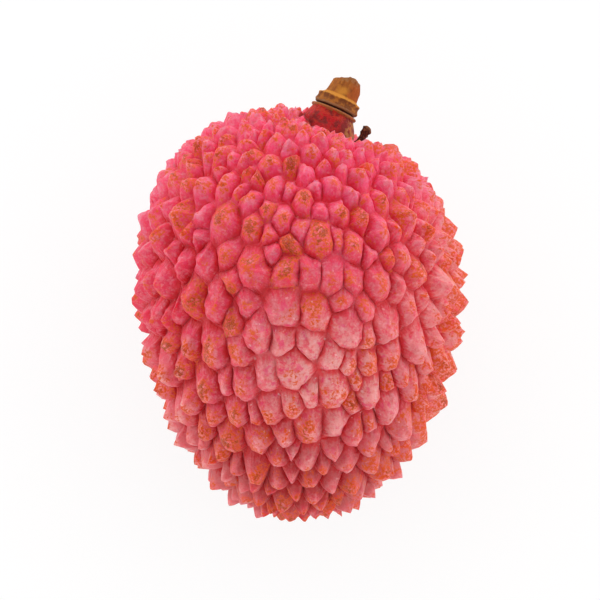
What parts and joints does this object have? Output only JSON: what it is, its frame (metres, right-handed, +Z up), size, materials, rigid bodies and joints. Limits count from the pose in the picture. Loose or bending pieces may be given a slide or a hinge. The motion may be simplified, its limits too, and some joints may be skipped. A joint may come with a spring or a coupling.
{
  "type": "lychee fruit",
  "caption": "Single whole lychee lying on its side, with a pebbled rind of angular tubercles, a short neck and the woody stub of its stalk.",
  "frame": {"origin": "on the surface that the fruit lies on, under the centre of its bounding box", "axes": "+Y along the fruit towards its stalk end, +Z up from the surface it lies on, +X across its width"},
  "size_m": [0.0308, 0.0406, 0.028],
  "materials": {
    "rind": "satin, leathery, pink-red with darker furrows and brownish tips",
    "stem": "dull, woody, orange-brown with a frayed end",
    "carpel": "dull, dried, nearly black brown"
  },
  "bodies": {
    "root": {"fruit": "rind", "stem_stub": "stem", "aborted_carpel": "carpel"}
  },
  "joints": []
}
